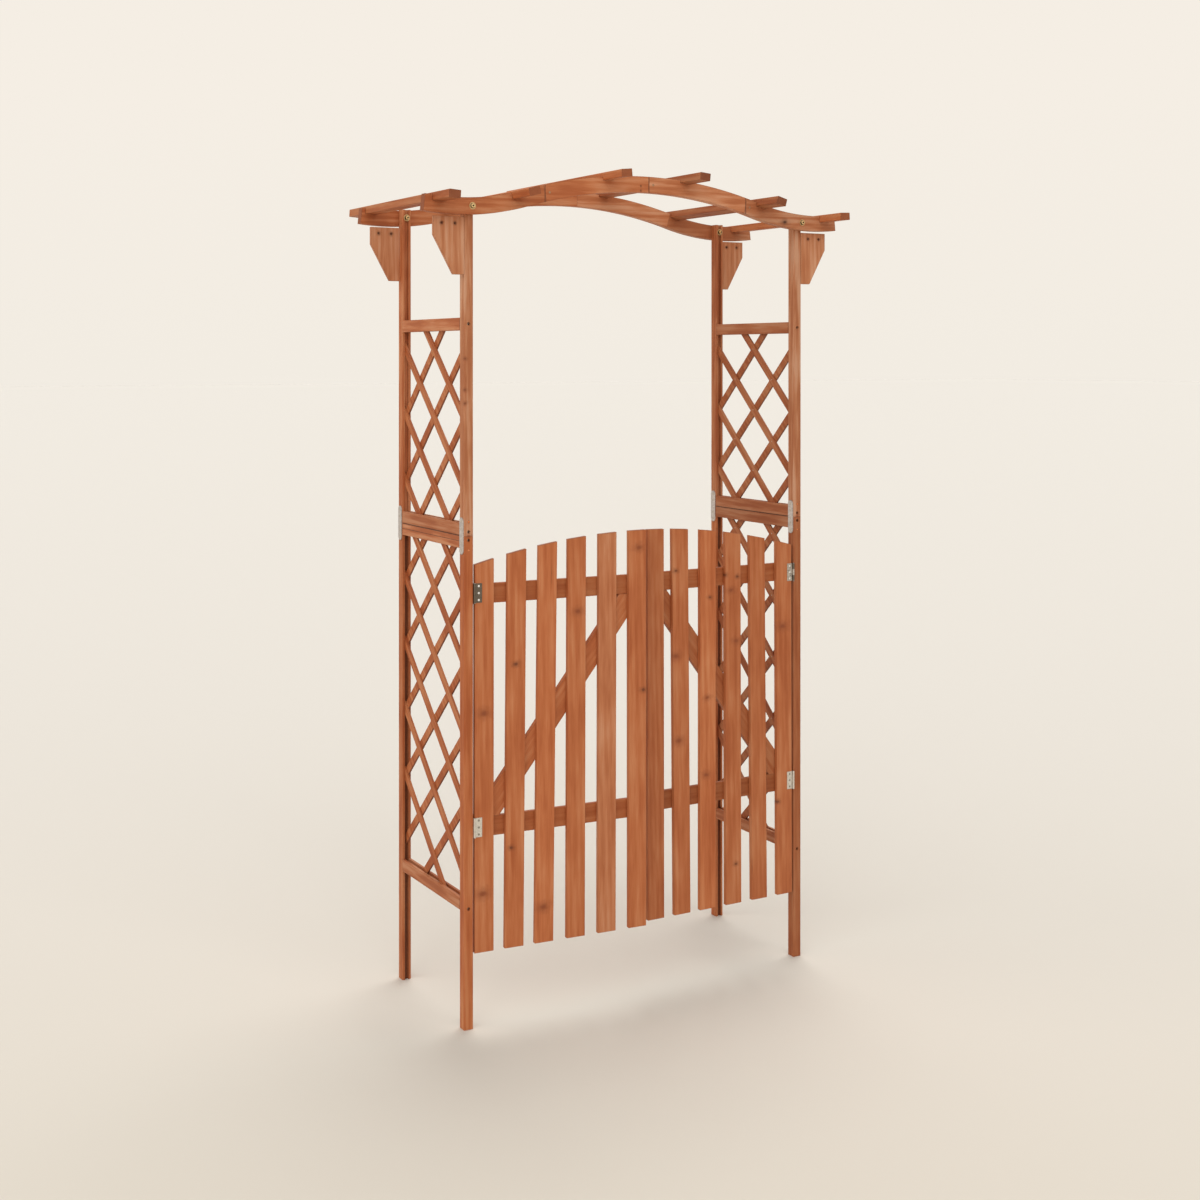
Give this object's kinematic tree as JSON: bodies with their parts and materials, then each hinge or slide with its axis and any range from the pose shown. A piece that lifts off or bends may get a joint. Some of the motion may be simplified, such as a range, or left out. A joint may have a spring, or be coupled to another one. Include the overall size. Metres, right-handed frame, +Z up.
{
  "type": "garden arch with gate",
  "caption": "Free-standing timber garden arch with lattice sides, a curved slatted roof and a pair of arched picket gate leaves on butt hinges.",
  "frame": {"origin": "on the ground, under the middle of the arch, midway between the posts in both directions", "axes": "+X to the right seen from the front, where the gate is; +Y through the arch to the back; +Z up"},
  "size_m": [1.2308, 0.59, 2.0507],
  "materials": {
    "stained_wood": "reddish brown translucent stain on planed softwood, with knots and fine grain",
    "galvanised_steel": "dull galvanised sheet steel",
    "zinc_steel": "bright zinc-plated screws and bolts"
  },
  "bodies": {
    "frame": {"back_beam_1": "stained_wood", "back_beam_2": "stained_wood", "back_beam_3": "stained_wood", "back_beam_4": "stained_wood", "beam_bolts": "zinc_steel", "corner_brackets": "stained_wood", "frame_screws": "zinc_steel", "front_beam_1": "stained_wood", "front_beam_2": "stained_wood", "front_beam_3": "stained_wood", "front_beam_4": "stained_wood", "hinge_pins": "zinc_steel", "hinge_post_leaves": "galvanised_steel", "left_back_post_lower": "stained_wood", "left_back_post_upper": "stained_wood", "left_front_post_lower": "stained_wood", "left_front_post_upper": "stained_wood", "left_lattice_slats": "stained_wood", "left_panel_rail_bottom": "stained_wood", "left_panel_rail_lower_middle": "stained_wood", "left_panel_rail_top": "stained_wood", "left_panel_rail_upper_middle": "stained_wood", "right_back_post_lower": "stained_wood", "right_back_post_upper": "stained_wood", "right_front_post_lower": "stained_wood", "right_front_post_upper": "stained_wood", "right_lattice_slats": "stained_wood", "right_panel_rail_bottom": "stained_wood", "right_panel_rail_lower_middle": "stained_wood", "right_panel_rail_top": "stained_wood", "right_panel_rail_upper_middle": "stained_wood", "roof_batten_1": "stained_wood", "roof_batten_2": "stained_wood", "roof_batten_3": "stained_wood", "roof_batten_4": "stained_wood", "roof_batten_5": "stained_wood", "roof_batten_6": "stained_wood", "splice_plates": "galvanised_steel"},
    "left_gate": {"left_gate_bottom_rail": "stained_wood", "left_gate_brace": "stained_wood", "left_gate_hinge_leaves": "galvanised_steel", "left_gate_picket_1": "stained_wood", "left_gate_picket_2": "stained_wood", "left_gate_picket_3": "stained_wood", "left_gate_picket_4": "stained_wood", "left_gate_picket_5": "stained_wood", "left_gate_picket_6": "stained_wood", "left_gate_screws": "zinc_steel", "left_gate_top_rail": "stained_wood"},
    "right_gate": {"right_gate_bottom_rail": "stained_wood", "right_gate_brace": "stained_wood", "right_gate_hinge_leaves": "galvanised_steel", "right_gate_picket_1": "stained_wood", "right_gate_picket_2": "stained_wood", "right_gate_picket_3": "stained_wood", "right_gate_picket_4": "stained_wood", "right_gate_picket_5": "stained_wood", "right_gate_picket_6": "stained_wood", "right_gate_screws": "zinc_steel", "right_gate_top_rail": "stained_wood"}
  },
  "joints": [
    {"name": "left_gate_hinge", "type": "hinge", "parent": "frame", "child": "left_gate", "pos_m": [-0.47325, -0.19075, 0.7485], "axis": [0, 0, -1], "range_deg": [-4.4, 165]},
    {"name": "right_gate_hinge", "type": "hinge", "parent": "frame", "child": "right_gate", "pos_m": [0.47325, -0.19075, 0.7485], "axis": [0, 0, 1], "range_deg": [0, 170]}
  ]
}
